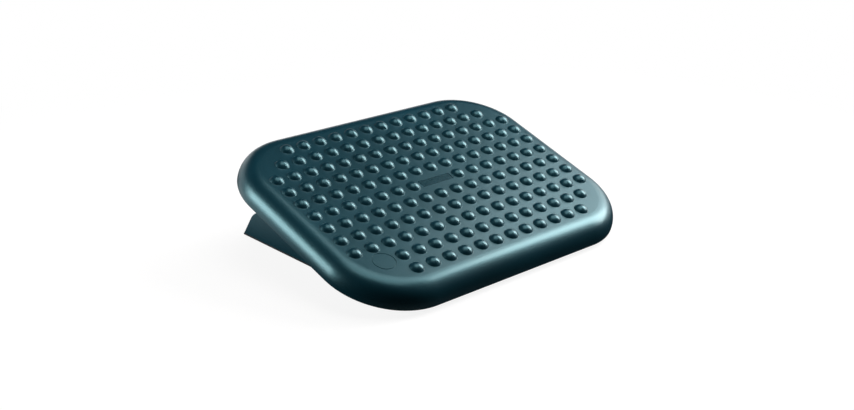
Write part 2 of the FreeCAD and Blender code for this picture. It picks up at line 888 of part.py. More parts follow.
def is_outer_arc(edge, face):
    """Whether an edge is one of the curved sides on a cheek's outer face."""
    play = size("tread_width").number * LEVEL_SHARE
    on_face = abs(edge.BoundBox.XMin - face) < play and abs(edge.BoundBox.XMax - face) < play
    return on_face and isinstance(edge.Curve, Part.Circle) and not edge.isClosed()


def build_flange(body, side):
    """The foot flange, in two layers, so that the screw heads sink into the lower one."""
    low = span(side, flange_inner, cheek_inner)
    high = low + size("flange_width")
    ends = (-size("flange_front_reach"), size("flange_rear_reach"))
    sunk = size("screw_head_height")
    layers = [
        (flange_low, sunk, size("screw_head_radius") + size("screw_head_clearance")),
        (flange_low + sunk, size("flange_thickness") - sunk, size("screw_radius") + size("screw_clearance")),
    ]
    for level, thickness, screw_hole in layers:
        layer = sketch_on(body, "XY_Plane", level)
        draw_outline(layer, rectangle(low, ends[0], high, ends[1]))
        for x, y in stud_spots(side):
            draw_circle(layer, x, y, size("stud_radius") + size("stud_clearance"))
        for x, y in rail_screw_spots(side):
            draw_circle(layer, x, y, screw_hole)
        pad(body, layer, thickness)


def build_gussets(body, side):
    """Three triangular gussets, between the studs."""
    turned = SIDES[side]
    corners = [
        (cheek_inner * turned, flange_top),
        (cheek_inner * turned, flange_top + size("gusset_height")),
        ((cheek_inner - size("gusset_width")) * turned, flange_top),
    ]
    for step in GUSSET_STEPS:
        centre = -(size("stud_pitch") * step) - size("gusset_thickness") / 2
        web = sketch_on(body, "XZ_Plane", centre)
        draw_outline(web, corners if turned > 0 else corners[::-1])
        pad(body, web, size("gusset_thickness"))


def build_foot_strip(side):
    """Rubber strip under a cheek, with headed studs that snap through the flange."""
    turned = SIDES[side]
    body = new_body("FootStrip")
    flat = sketch_on(body, "XY_Plane")
    toe = -size("toe_reach")
    heel = size("cheek_half_length")
    ends = (-size("flange_front_reach"), size("flange_rear_reach"))
    corners = [
        (flange_inner * turned, ends[0]),
        (cheek_inner * turned, toe),
        (cheek_outer * turned, toe),
        (cheek_outer * turned, heel),
        (cheek_inner * turned, heel),
        (flange_inner * turned, ends[1]),
    ]
    draw_outline(flat, corners if turned > 0 else corners[::-1])
    pad(body, flat, size("strip_thickness"))
    shaft = sketch_on(body, "XY_Plane", flange_low)
    head = sketch_on(body, "XY_Plane", flange_top)
    for x, y in stud_spots(side):
        draw_circle(shaft, x, y, size("stud_radius"))
        draw_circle(head, x, y, size("stud_head_radius"))
    pad(body, shaft, size("flange_thickness"))
    pad(body, head, size("stud_head_height"))
    grooves = count("tread_groove_count")
    spacing = (cheek_outer - flange_inner) / (grooves + 1)
    cuts = sketch_on(body, "XY_Plane")
    for index in range(grooves):
        middle = (flange_inner + spacing * (index + 1)) * turned
        half = size("tread_groove_width") / 2
        gap = size("tread_groove_end_gap")
        draw_outline(cuts, rectangle(middle - half, ends[0] + gap, middle + half, ends[1] - gap))
    channel = body.newObject("PartDesign::Pocket", "Grooves")
    channel.Profile = cuts
    channel.Reversed = True
    bind(channel, Length=size("tread_groove_depth"))
    place_in_base(body)
    keep(body, f"{side}_foot_strip")


def build_rail(end):
    """Cross rail: a channel open below, webs across it, and a pair of screw bosses at each end."""
    body = new_body("Rail")
    half_length = cheek_inner - size("rail_end_gap")
    half = size("rail_width") / 2
    inner = half - size("rail_wall")
    under = size("rail_top") - size("rail_wall")
    profile = sketch_on(body, "YZ_Plane", -half_length)
    corners = [
        (half, flange_top),
        (half, size("rail_top")),
        (-half, size("rail_top")),
        (-half, flange_top),
        (-inner, flange_top),
        (-inner, under),
        (inner, under),
        (inner, flange_top),
    ]
    draw_outline(profile, corners)
    pad(body, profile, half_length * 2)
    top = size("rail_top").number
    long = half_length.number
    round_edges(
        body,
        size("rail_edge_round"),
        lambda edge: lies_at(edge, top) and edge.BoundBox.XLength > long,
    )
    webs = count("rail_web_count")
    for index in range(webs):
        middle = size("rail_web_pitch") * (index - (webs - 1) / 2)
        web = sketch_on(body, "YZ_Plane", middle - size("rail_web_thickness") / 2)
        draw_outline(web, rectangle(-inner, flange_top, inner, under))
        pad(body, web, size("rail_web_thickness"))
    bosses = sketch_on(body, "XY_Plane", flange_top)
    for turned in SIDES.values():
        for along in HALVES:
            across = stud_line * turned
            y = size("rail_screw_spacing") * along
            draw_circle(bosses, across, y, size("rail_boss_radius"))
            draw_circle(bosses, across, y, pilot_radius)
    pad(body, bosses, under - flange_top)
    reach = size("rail_reach").number * ENDS[end]
    body.Placement = Placement(Vector(0, pivot_y.number + reach, 0), Rotation())
    keep(body, f"{end}_rail")


def screw_model():
    """A pan head screw that points up, with the underside of its head at the origin."""
    radius = size("screw_radius")
    head = size("screw_head_radius")
    depth = size("screw_head_height")
    tip = size("screw_length")
    taper = size("screw_head_taper_share")
    corners = [
        (0, -depth),
        (head - depth * taper, -depth),
        (head, -depth * taper),
        (head, 0),
        (radius, 0),
        (radius, tip - radius),
        (radius * size("screw_tip_share"), tip),
        (0, tip),
    ]
    body = turned_piece("Screw", corners, axis="V_Axis", plane="XZ_Plane")
    recess = sketch_on(body, "XY_Plane", -depth)
    long = size("screw_slot_length") / 2
    half = size("screw_slot_width") / 2
    cross = [
        (long, -half),
        (long, half),
        (half, half),
        (half, long),
        (-half, long),
        (-half, half),
        (-long, half),
        (-long, -half),
        (-half, -half),
        (-half, -long),
        (half, -long),
        (half, -half),
    ]
    draw_outline(recess, cross)
    driver = body.newObject("PartDesign::Pocket", "DriverRecess")
    driver.Profile = recess
    driver.Reversed = True
    bind(driver, Length=size("screw_slot_depth"))
    return body


def build_screws():
    screw = screw_model()
    under_plate = bracket_low.number
    spots = [spot for side in SIDES for spot in screw_spots(side)]
    places = [Placement(Vector(x.number, y.number, under_plate), Rotation()) for x, y in spots]
    group = copies("BracketScrews", screw, places)
    place_in_platform(group)
    keep(group, "bracket_screws")
    under_flange = (flange_low + size("screw_head_height")).number
    spots = [spot for side in SIDES for spot in rail_screw_spots(side)]
    places = [Placement(Vector(x.number, y.number, under_flange), Rotation()) for x, y in spots]
    group = copies("RailScrews", screw, places)
    place_in_base(group)
    keep(group, "rail_screws")


def build_stop_pad(side, end):
    """Rubber pad with a ball end below, a collar against its boss and a stem pressed into it."""
    radius = size("pad_radius")
    stem = size("pad_stem_radius")
    collar = size("pad_collar")
    tip = collar + size("pad_stem_length")
    corners = [
        (0, -radius),
        (radius, 0),
        (radius, collar),
        (stem, collar),
        (stem, tip),
        (0, tip),
    ]
    body = new_body("StopPad")
    profile = sketch_on(body, "XZ_Plane")
    draw_outline(profile, corners, {0: radius})
    revolve(body, profile, "V_Axis")
    reach, level = stop_place(end)
    place_in_platform(body, Vector(stop_across(side).number, reach.number, level.number))
    keep(body, f"{end}_{side}_stop_pad")


build_tread_platform()
build_centre_plate()
build_axle()
for side_name in SIDES:
    build_bracket(side_name)
    build_bush(side_name)
    build_washers(side_name)
    build_clip(side_name)
    build_cap(side_name)
    build_cheek(side_name)
    build_foot_strip(side_name)
    for end_name in ENDS:
        build_stop_pad(side_name, end_name)
for end_name in ENDS:
    build_rail(end_name)
build_screws()
doc.recompute()

for thing in doc.Objects:
    if "Invalid" in thing.State or "Error" in thing.State:
        raise RuntimeError(f"{thing.Name} ({thing.Label}) failed to build: {thing.State}")
for node in nodes:
    if node.Shape.isNull() or not node.Shape.isValid():
        raise RuntimeError(f"{node.Label} has no valid shape")
os.makedirs("parts", exist_ok=True)
for node in nodes:
    node.Shape.exportStep(f"parts/{node.Label}.step")
    solids = len(node.Shape.Solids)
    print(f"{node.Label}: {solids} solid(s), {node.Shape.Volume / 1000:.2f} cm3")
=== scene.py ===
"""Massage footrest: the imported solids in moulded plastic, rubber and steel, in a photo studio."""

from math import pi, radians

import bmesh
import bpy
from mathutils import Matrix, Vector


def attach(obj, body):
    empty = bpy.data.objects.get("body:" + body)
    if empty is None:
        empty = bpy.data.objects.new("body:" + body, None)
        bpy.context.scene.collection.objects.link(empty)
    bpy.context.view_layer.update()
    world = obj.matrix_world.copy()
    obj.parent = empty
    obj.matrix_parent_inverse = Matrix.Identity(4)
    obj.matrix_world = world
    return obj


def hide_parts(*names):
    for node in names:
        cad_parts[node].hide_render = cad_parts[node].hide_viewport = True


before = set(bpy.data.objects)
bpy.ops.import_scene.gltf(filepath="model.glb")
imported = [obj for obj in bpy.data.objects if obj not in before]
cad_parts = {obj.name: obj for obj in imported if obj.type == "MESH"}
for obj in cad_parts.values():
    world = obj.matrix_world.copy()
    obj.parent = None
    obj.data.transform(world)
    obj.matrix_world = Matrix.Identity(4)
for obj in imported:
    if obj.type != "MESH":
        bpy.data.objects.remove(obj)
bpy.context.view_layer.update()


# Nodes


def place_node(tree, kind, feeds=None, **settings):
    """Adds a node to a tree. feeds gives each of its inputs a value or another node's output."""
    node = tree.nodes.new(kind)
    for name, value in settings.items():
        setattr(node, name, value)
    for name, value in (feeds or {}).items():
        if isinstance(value, bpy.types.NodeSocket):
            tree.links.new(value, node.inputs[name])
        else:
            node.inputs[name].default_value = value
    return node


def new_group(name, kind, takes, gives):
    """A node group. takes maps each input to its kind and value, gives each output to its kind."""
    tree = bpy.data.node_groups.new(name, kind)
    for socket_name, (socket_kind, value) in takes.items():
        socket = tree.interface.new_socket(socket_name, in_out="INPUT", socket_type=socket_kind)
        if value is not None:
            socket.default_value = value
    for socket_name, socket_kind in gives.items():
        tree.interface.new_socket(socket_name, in_out="OUTPUT", socket_type=socket_kind)
    entry = tree.nodes.new("NodeGroupInput")
    leave = tree.nodes.new("NodeGroupOutput")
    return tree, entry.outputs, leave.inputs


def maths(tree, operation, first, second=0.0, clamp=False):
    """The result of one sum over two values or sockets."""
    feeds = {0: first, 1: second}
    node = place_node(tree, "ShaderNodeMath", feeds, operation=operation, use_clamp=clamp)
    return node.outputs[0]


def add(tree, first, second):
    return maths(tree, "ADD", first, second)


def less(tree, first, second):
    return maths(tree, "SUBTRACT", first, second)


def times(tree, first, second):
    return maths(tree, "MULTIPLY", first, second)


def over(tree, first, second):
    return maths(tree, "DIVIDE", first, second)


def dot(tree, first, second):
    feeds = {0: first, 1: second}
    node = place_node(tree, "ShaderNodeVectorMath", feeds, operation="DOT_PRODUCT")
    return node.outputs["Value"]


def vector(tree, x=0.0, y=0.0, z=0.0):
    return place_node(tree, "ShaderNodeCombineXYZ", {0: x, 1: y, 2: z}).outputs[0]


def split(tree, whole):
    return place_node(tree, "ShaderNodeSeparateXYZ", {0: whole}).outputs


def ramp(tree, value, start, end, top=1.0):
    """Nothing up to start, top from end onwards, and a straight rise between them."""
    feeds = {"Value": value, "From Min": start, "From Max": end, "To Max": top}
    return place_node(tree, "ShaderNodeMapRange", feeds).outputs[0]


def blend_colours(tree, share, first, second):
    feeds = {0: share, 6: first, 7: second}
    return place_node(tree, "ShaderNodeMix", feeds, data_type="RGBA").outputs[2]


def blend_shaders(tree, share, first, second):
    return place_node(tree, "ShaderNodeMixShader", {0: share, 1: first, 2: second}).outputs[0]


# Effects that several finishes share


# How high the grain's cells stand beside its fine noise
CELL_SHARE = 0.5


def make_mould_grain():
    """The fine spark-eroded texture of a mould, as a height and as a mask of its high spots."""
    tree, given, made = new_group(
        "Mould grain",
        "ShaderNodeTree",
        {"Grain size": ("NodeSocketFloat", 0.0008)},
        {"Height": "NodeSocketFloat", "Peaks": "NodeSocketFloat"},
    )
    place = place_node(tree, "ShaderNodeTexCoord").outputs["Object"]
    scale = over(tree, 1.0, given["Grain size"])
    feeds = {"Vector": place, "Scale": scale, "Detail": 3.0, "Roughness": 0.6}
    fine = place_node(tree, "ShaderNodeTexNoise", feeds).outputs[0]
    feeds = {"Vector": place, "Scale": scale}
    cells = place_node(tree, "ShaderNodeTexVoronoi", feeds).outputs["Distance"]
    tree.links.new(add(tree, fine, times(tree, cells, CELL_SHARE)), made["Height"])
    tree.links.new(ramp(tree, fine, start=0.35, end=0.65), made["Peaks"])
    return tree


def make_edge_wear():
    """A mask of the edges and corners that rub first, broken up so that the wear is patchy."""
    tree, given, made = new_group(
        "Edge wear",
        "ShaderNodeTree",
        {
            "Edge width": ("NodeSocketFloat", 0.0012),
            "Patch size": ("NodeSocketFloat", 0.02),
            "Amount": ("NodeSocketFloat", 0.5),
        },
        {"Wear": "NodeSocketFloat"},
    )
    feeds = {"Radius": given["Edge width"]}
    rounded = place_node(tree, "ShaderNodeBevel", feeds, samples=6).outputs[0]
    plain = place_node(tree, "ShaderNodeNewGeometry").outputs["Normal"]
    edge = ramp(tree, dot(tree, rounded, plain), start=0.995, end=0.86)
    place = place_node(tree, "ShaderNodeTexCoord").outputs["Object"]
    scale = over(tree, 1.0, given["Patch size"])
    feeds = {"Vector": place, "Scale": scale, "Detail": 5.0}
    patches = place_node(tree, "ShaderNodeTexNoise", feeds).outputs[0]
    broken = ramp(tree, patches, start=0.4, end=0.62)
    worn = maths(tree, "MULTIPLY", times(tree, edge, broken), given["Amount"], clamp=True)
    tree.links.new(worn, made["Wear"])
    return tree


def make_tone_drift():
    """Slow, weak changes over a surface, from the flow of the melt and from handling."""
    tree, given, made = new_group(
        "Tone drift",
        "ShaderNodeTree",
        {"Patch size": ("NodeSocketFloat", 0.08), "Stretch": ("NodeSocketFloat", 1.0)},
        {"Drift": "NodeSocketFloat"},
    )
    place = place_node(tree, "ShaderNodeTexCoord").outputs["Object"]
    feeds = {0: place, 1: vector(tree, given["Stretch"], 1.0, 1.0)}
    drawn_out = place_node(tree, "ShaderNodeVectorMath", feeds, operation="MULTIPLY").outputs[0]
    scale = over(tree, 1.0, given["Patch size"])
    feeds = {"Vector": drawn_out, "Scale": scale, "Detail": 2.0}
    slow = place_node(tree, "ShaderNodeTexNoise", feeds).outputs[0]
    tree.links.new(ramp(tree, slow, start=0.3, end=0.7), made["Drift"])
    return tree


def make_settled_dust():
    """A thin mask of dust on the surfaces that face upwards."""
    tree, given, made = new_group(
        "Settled dust",
        "ShaderNodeTree",
        {"Amount": ("NodeSocketFloat", 0.1), "Speck size": ("NodeSocketFloat", 0.004)},
        {"Dust": "NodeSocketFloat"},
    )
    source = place_node(tree, "ShaderNodeTexCoord").outputs
    upward = ramp(tree, split(tree, source["Normal"])["Z"], start=0.3, end=0.95)
    scale = over(tree, 1.0, given["Speck size"])
    feeds = {"Vector": source["Object"], "Scale": scale, "Detail": 6.0, "Roughness": 0.7}
    specks = place_node(tree, "ShaderNodeTexNoise", feeds).outputs[0]
    thick = ramp(tree, specks, start=0.42, end=0.75)
    tree.links.new(times(tree, times(tree, upward, thick), given["Amount"]), made["Dust"])
    return tree


MOULD_GRAIN = make_mould_grain()
EDGE_WEAR = make_edge_wear()
TONE_DRIFT = make_tone_drift()
SETTLED_DUST = make_settled_dust()


# Finishes


DUST_COLOUR = (0.42, 0.43, 0.42, 1.0)
RUBBED_STEEL = (0.75, 0.75, 0.74, 1.0)

# The darkest and the lightest shade that a colour drifts to
PLASTIC_DRIFT = (0.86, 1.14)
STEEL_DRIFT = (0.78, 1.0)

# By how much grain, rubbing and dust on plastic, and drift on steel, change the roughness
GRAIN_ROUGHNESS = 0.06
RUBBED_ROUGHNESS = 0.12
DUST_ROUGHNESS = 0.9
STEEL_ROUGHNESS = 0.1


def start_finish(name):
    """A new material, its node tree and its shader."""
    material = bpy.data.materials.new(name)
    material.use_nodes = True
    tree = material.node_tree
    return material, tree, tree.nodes["Principled BSDF"]


def effect(tree, group, **values):
    """One of the shared effects, placed in a finish with its own values."""
    node = tree.nodes.new("ShaderNodeGroup")
    node.node_tree = group
    for name, value in values.items():
        node.inputs[name.replace("_", " ").capitalize()].default_value = value
    return node.outputs


def drifting_colour(tree, drift, colour, shades):
    """A colour that wanders between two shades of itself."""
    dark, light = (tuple(shade * part for part in colour) + (1.0,) for shade in shades)
    return blend_colours(tree, drift, dark, light)


def lift_surface(tree, shader, height, depth, strength):
    feeds = {"Height": height, "Distance": depth, "Strength": strength}
    bump = place_node(tree, "ShaderNodeBump", feeds)
    tree.links.new(bump.outputs[0], shader.inputs["Normal"])


def moulded_finish(name, colour, worn, roughness, grain_size, grain_depth, wear, dust, sheen=None):
    """Moulded plastic or rubber: grain, patchy rubbed edges, a slow drift of tone and dust."""
    material, tree, shader = start_finish(name)
    grain = effect(tree, MOULD_GRAIN, grain_size=grain_size)
    rubbed = effect(tree, EDGE_WEAR, edge_width=0.0012, patch_size=0.018, amount=wear)["Wear"]
    drift = effect(tree, TONE_DRIFT, patch_size=0.09, stretch=1.0)["Drift"]
    dusty = effect(tree, SETTLED_DUST, amount=dust, speck_size=0.004)["Dust"]
    base = drifting_colour(tree, drift, colour, PLASTIC_DRIFT)
    base = blend_colours(tree, rubbed, base, worn + (1.0,))
    base = blend_colours(tree, dusty, base, DUST_COLOUR)
    tree.links.new(base, shader.inputs["Base Color"])
    grainy = times(tree, grain["Peaks"], GRAIN_ROUGHNESS)
    rough = add(tree, roughness - GRAIN_ROUGHNESS / 2.0, grainy)
    rough = add(tree, rough, times(tree, rubbed, RUBBED_ROUGHNESS))
    rough = maths(tree, "ADD", rough, times(tree, dusty, DUST_ROUGHNESS), clamp=True)
    tree.links.new(rough, shader.inputs["Roughness"])
    lift_surface(tree, shader, grain["Height"], grain_depth, 1.0)
    for socket, value in (sheen or {}).items():
        shader.inputs[socket].default_value = value
    return material


def steel_finish(name, colour, roughness, stretch):
    """Drawn, stamped or plated steel, with fine lines and a slow change of tone."""
    material, tree, shader = start_finish(name)
    grain = effect(tree, MOULD_GRAIN, grain_size=0.0006)
    drift = effect(tree, TONE_DRIFT, patch_size=0.006, stretch=stretch)["Drift"]
    rubbed = effect(tree, EDGE_WEAR, edge_width=0.0006, patch_size=0.006, amount=0.6)["Wear"]
    base = drifting_colour(tree, drift, colour, STEEL_DRIFT)
    base = blend_colours(tree, rubbed, base, RUBBED_STEEL)
    tree.links.new(base, shader.inputs["Base Color"])
    drifting = times(tree, drift, STEEL_ROUGHNESS)
    rough = add(tree, roughness - STEEL_ROUGHNESS / 2.0, drifting)
    tree.links.new(rough, shader.inputs["Roughness"])
    lift_surface(tree, shader, grain["Height"], 0.00001, 0.6)
    shader.inputs["Metallic"].default_value = 1.0
    return material


FINISHES = {
    "tray_plastic": moulded_finish(
        "Teal satin plastic",
        colour=(0.0008, 0.027, 0.043),
        worn=(0.03, 0.065, 0.07),
        roughness=0.34,
        grain_size=0.0009,
        grain_depth=0.00004,
        wear=0.35,
        dust=0.004,
        sheen={
            "IOR": 1.76,
            "Specular Tint": (0.34, 0.87, 0.97, 1.0),
            "Coat Weight": 0.18,
            "Coat Roughness": 0.2,
        },
    ),
    "plate_plastic": moulded_finish(
        "Teal plate plastic",
        colour=(0.002, 0.026, 0.037),
        worn=(0.04, 0.08, 0.09),
        roughness=0.22,
        grain_size=0.0006,
        grain_depth=0.00002,
        wear=0.3,
        dust=0.02,
        sheen={"IOR": 1.66, "Specular Tint": (0.3, 0.84, 1.0, 1.0)},
    ),
    "frame_plastic": moulded_finish(
        "Charcoal frame plastic",
        colour=(0.04, 0.045, 0.048),
        worn=(0.05, 0.055, 0.055),
        roughness=0.42,
        grain_size=0.0012,
        grain_depth=0.00004,
        wear=0.4,
        dust=0.03,
    ),
    "acetal": moulded_finish(
        "White bush plastic",
        colour=(0.72, 0.71, 0.67),
        worn=(0.8, 0.8, 0.78),
        roughness=0.35,
        grain_size=0.0012,
        grain_depth=0.00001,
        wear=0.2,
        dust=0.02,
    ),
    "nylon": moulded_finish(
        "Cream washer plastic",
        colour=(0.66, 0.62, 0.52),
        worn=(0.78, 0.76, 0.7),
        roughness=0.4,
        grain_size=0.0012,
        grain_depth=0.00001,
        wear=0.2,
        dust=0.02,
    ),
    "pad_rubber": moulded_finish(
        "Stop pad rubber",
        colour=(0.01, 0.01, 0.011),
        worn=(0.03, 0.03, 0.03),
        roughness=0.62,
        grain_size=0.0015,
        grain_depth=0.00006,
        wear=0.3,
        dust=0.05,
    ),
    "foot_rubber": moulded_finish(
        "Foot strip rubber",
        colour=(0.02, 0.02, 0.021),
        worn=(0.045, 0.045, 0.045),
        roughness=0.68,
        grain_size=0.0015,
        grain_depth=0.00008,
        wear=0.4,
        dust=0.06,
    ),
    "zinc_steel": steel_finish(
        "Zinc-plated steel",
        colour=(0.58, 0.59, 0.6),
        roughness=0.34,
        stretch=1.0,
    ),
    "spring_steel": steel_finish(
        "Spring steel",
        colour=(0.3, 0.29, 0.28),
        roughness=0.38,
        stretch=1.0,
    ),
    "axle_steel": steel_finish(
        "Drawn axle steel",
        colour=(0.52, 0.52, 0.51),
        roughness=0.26,
        stretch=0.03,
    ),
}


def dress_solids():
    """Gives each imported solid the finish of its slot."""
    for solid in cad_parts.values():
        slot = solid.data.materials[0].name
        solid.data.materials.clear()
        solid.data.materials.append(FINISHES[slot])


dress_solids()


# The tray's sizes, in metres


TRAY_SIZES = {
    "Tread width": 0.452,
    "Tread depth": 0.333,
    "Corner radius": 0.092,
    "Roll": 0.026,
    "Rim height": 0.028,
    "Lip round": 0.0008,
    "Wall": 0.003,
    "Pitch": 0.0254,
    "Bump radius": 0.00945,
    "Bump height": 0.0055,
    "Bump wall": 0.0026,
    "Foot round": 0.0002,
    "Plate length": 0.051,
    "Plate width": 0.0126,
    "Plate recess": 0.001,
    "Disc radius": 0.0146,
    "Disc depth": 0.0005,
    "Disc groove": 0.0011,
    "Rib thickness": 0.002,
    "Rib depth": 0.010,
    "Screw boss radius": 0.004,
    "Pad boss radius": 0.005,
    "Axle setback": 0.015,
    "Axle drop": 0.030,
}

# The screws' bosses: how far apart across and along the tread, and where their middle is along it
SCREW_SPANS = (0.257, 0.297)
SCREW_SPREAD = 0.052
SCREW_MIDDLE = 0.015

# The stop pads' bosses: how far apart across, then where each pair is along and how deep it reaches
PAD_SPAN = 0.1524
PAD_BOSSES = ((-0.0974, 0.00995), (0.12868, 0.026755))

# The axle, and the tilt about it at rest
AXLE = (0.0, 0.006866774, 0.0608)
REST_TILT = radians(18.5)

# The grid of bumps, and where it leaves some out, in steps of the pitch from the tread's middle
BUMP_COLUMNS = 16
BUMP_ROWS = 11
CORNER_STEPS = 11.25
PLATE_STEPS = (1.0, 0.5)
DISC_STEPS = (-6.6, -4.0)
DISC_BUMP = (-6.5, -4.0)
HALF_STEP = 0.5

# The ribs that run along and across the tread, and their reach or place in the same steps
LONG_RIBS = 5
LONG_RIB_STEPS = 8.0
OUTER_RIB_STEPS = 7.0
CROSS_RIBS = 4
CROSS_RIB_STEPS = 9.0
END_RIB_STEPS = 3.0

# How finely the rounds are divided
CORNER_SIDES = 24
ROLL_SIDES = 12
INNER_ROLL_SIDES = 10
LIP_SIDES = 3
BUMP_SIDES = 16
BUMP_RINGS = 4
FOOT_RINGS = 2
DIMPLE_SIDES = 12
DIMPLE_RINGS = 3
DISC_SIDES = 64
POST_SIDES = 32

# Angles, of which edges over the last one stay sharp
QUARTER = pi / 2.0
HALF_FACET = pi / BUMP_SIDES
CREASE = 0.65

# Points closer than this are made one
MERGE_REACH = 0.00003


# Steps in making the tray's shape


def moved(tree, thing, x=0.0, y=0.0, z=0.0):
    feeds = {"Geometry": thing, "Translation": vector(tree, x, y, z)}
    return place_node(tree, "GeometryNodeTransform", feeds).outputs[0]


def line(tree, start, end):
    """A straight stretch of a section. Each end gives how far out and how far down it lies."""
    feeds = {"Start": vector(tree, *start), "End": vector(tree, *end)}
    return place_node(tree, "GeometryNodeCurvePrimitiveLine", feeds, mode="POINTS").outputs[0]


def arc(tree, centre, radius, start, turn, sides):
    """A round stretch of a section about a centre, from one angle through another."""
    feeds = {"Resolution": sides + 1, "Radius": radius, "Start Angle": start, "Sweep Angle": turn}
    drawn = place_node(tree, "GeometryNodeCurveArc", feeds, mode="RADIUS").outputs[0]
    return moved(tree, drawn, *centre)


def join(tree, pieces):
    node = tree.nodes.new("GeometryNodeJoinGeometry")
    for piece in reversed(pieces):
        tree.links.new(piece, node.inputs[0])
    return node.outputs[0]


def sweep(tree, path, stretches):
    """The surface that a section leaves as it runs round a closed path."""
    feeds = {"Curve": path, "Profile Curve": join(tree, stretches)}
    return place_node(tree, "GeometryNodeCurveToMesh", feeds).outputs[0]


def filled(tree, outlines, z=0.0):
    """A flat face inside closed curves, with a hole for each curve that lies in another."""
    feeds = {0: join(tree, outlines)}
    face = place_node(tree, "GeometryNodeFillCurve", feeds, mode="TRIANGLES").outputs[0]
    return moved(tree, face, z=z)


def at_points(tree, points, thing, turn=0.0):
    feeds = {"Points": points, "Instance": thing, "Rotation": (0.0, 0.0, turn)}
    placed = place_node(tree, "GeometryNodeInstanceOnPoints", feeds).outputs[0]
    return place_node(tree, "GeometryNodeRealizeInstances", {0: placed}).outputs[0]


def outline(tree, width, depth, radius=None):
    """A closed rectangle round the origin, with round corners where a radius is given."""
    feeds = {"Width": width, "Height": depth}
    kind = "GeometryNodeCurvePrimitiveQuadrilateral"
    sharp = place_node(tree, kind, feeds, mode="RECTANGLE").outputs[0]
    if radius is None:
        return sharp
    feeds = {"Curve": sharp, "Count": CORNER_SIDES, "Radius": radius}
    return place_node(tree, "GeometryNodeFilletCurve", feeds, mode="POLY").outputs[0]


def circle(tree, radius, sides):
    feeds = {"Resolution": sides, "Radius": radius}
    kind = "GeometryNodeCurvePrimitiveCircle"
    return place_node(tree, kind, feeds, mode="RADIUS").outputs[0]


def grid_points(tree, columns, rows, width, depth):
    """Points on a grid round the origin, which reaches width across and depth along."""
    feeds = {"Vertices X": columns, "Vertices Y": rows, "Size X": width, "Size Y": depth}
    return place_node(tree, "GeometryNodeMeshGrid", feeds).outputs["Mesh"]


def boolean(tree, operation, meshes):
    """One closed mesh from several that overlap."""
    feeds = {"Self Intersection": True}
    kind = "GeometryNodeMeshBoolean"
    node = place_node(tree, kind, feeds, operation=operation, solver="EXACT")
    for mesh in meshes:
        tree.links.new(mesh, node.inputs[1])
    return node.outputs[0]


# The tray


def bump_points(tree, pitch):
    """The grid's crossings, less its corners, the two at the plate and the one at the disc."""
    width = times(tree, pitch, BUMP_COLUMNS - 1.0)
    depth = times(tree, pitch, BUMP_ROWS - 1.0)
    grid = grid_points(tree, BUMP_COLUMNS, BUMP_ROWS, width, depth)
    place = split(tree, place_node(tree, "GeometryNodeInputPosition").outputs[0])
    column = over(tree, place["X"], pitch)
    row = over(tree, place["Y"], pitch)
    across = maths(tree, "ABSOLUTE", column)
    along = maths(tree, "ABSOLUTE", row)
    in_corner = maths(tree, "GREATER_THAN", add(tree, across, along), CORNER_STEPS)
    beside_plate = maths(tree, "LESS_THAN", across, PLATE_STEPS[0])
    on_plate = times(tree, beside_plate, maths(tree, "LESS_THAN", along, PLATE_STEPS[1]))
    from_column = maths(tree, "ABSOLUTE", less(tree, column, DISC_BUMP[0]))
    from_row = maths(tree, "ABSOLUTE", less(tree, row, DISC_BUMP[1]))
    on_disc = maths(tree, "LESS_THAN", add(tree, from_column, from_row), HALF_STEP)
    feeds = {"Geometry": grid, "Selection": add(tree, add(tree, in_corner, on_plate), on_disc)}
    return place_node(tree, "GeometryNodeDeleteGeometry", feeds, domain="POINT").outputs[0]


def bump_shapes(tree, given):
    """A bump's dome and the hollow below it, each with the radius of its foot."""
    radius, height, foot = given["Bump radius"], given["Bump height"], given["Foot round"]

    # The dome is a ball's cap, which meets the flat in a small round.
    squares = add(tree, times(tree, radius, radius), times(tree, height, height))
    ball = over(tree, squares, times(tree, height, 2.0))
    drop = less(tree, ball, height)
    whole = add(tree, ball, foot)
    lift = add(tree, drop, foot)
    squares = less(tree, times(tree, whole, whole), times(tree, lift, lift))
    reach = maths(tree, "SQRT", squares)
    edge_reach = times(tree, reach, over(tree, ball, whole))
    edge_angle = maths(tree, "ARCSINE", over(tree, edge_reach, ball))
    foot_centre = (0.0, times(tree, foot, -1.0))
    ball_centre = (times(tree, reach, -1.0), drop)
    dome = sweep(
        tree,
        circle(tree, reach, BUMP_SIDES),
        [
            arc(tree, foot_centre, foot, QUARTER, edge_angle, FOOT_RINGS),
            arc(tree, ball_centre, ball, -QUARTER, edge_angle, BUMP_RINGS),
        ],
    )

    # The hollow is a smaller ball about the same centre, cut off at the tray's underside.
    hollow_ball = less(tree, ball, given["Bump wall"])
    below = add(tree, drop, times(tree, given["Wall"], -1.0))
    squares = less(tree, times(tree, hollow_ball, hollow_ball), times(tree, below, below))
    hollow_reach = maths(tree, "SQRT", squares)
    hollow_angle = maths(tree, "ARCSINE", over(tree, hollow_reach, hollow_ball))
    hollow_centre = (times(tree, hollow_reach, -1.0), drop)
    dimple = sweep(
        tree,
        circle(tree, hollow_reach, DIMPLE_SIDES),
        [arc(tree, hollow_centre, hollow_ball, -QUARTER, hollow_angle, DIMPLE_RINGS)],
    )
    return dome, reach, dimple, hollow_reach


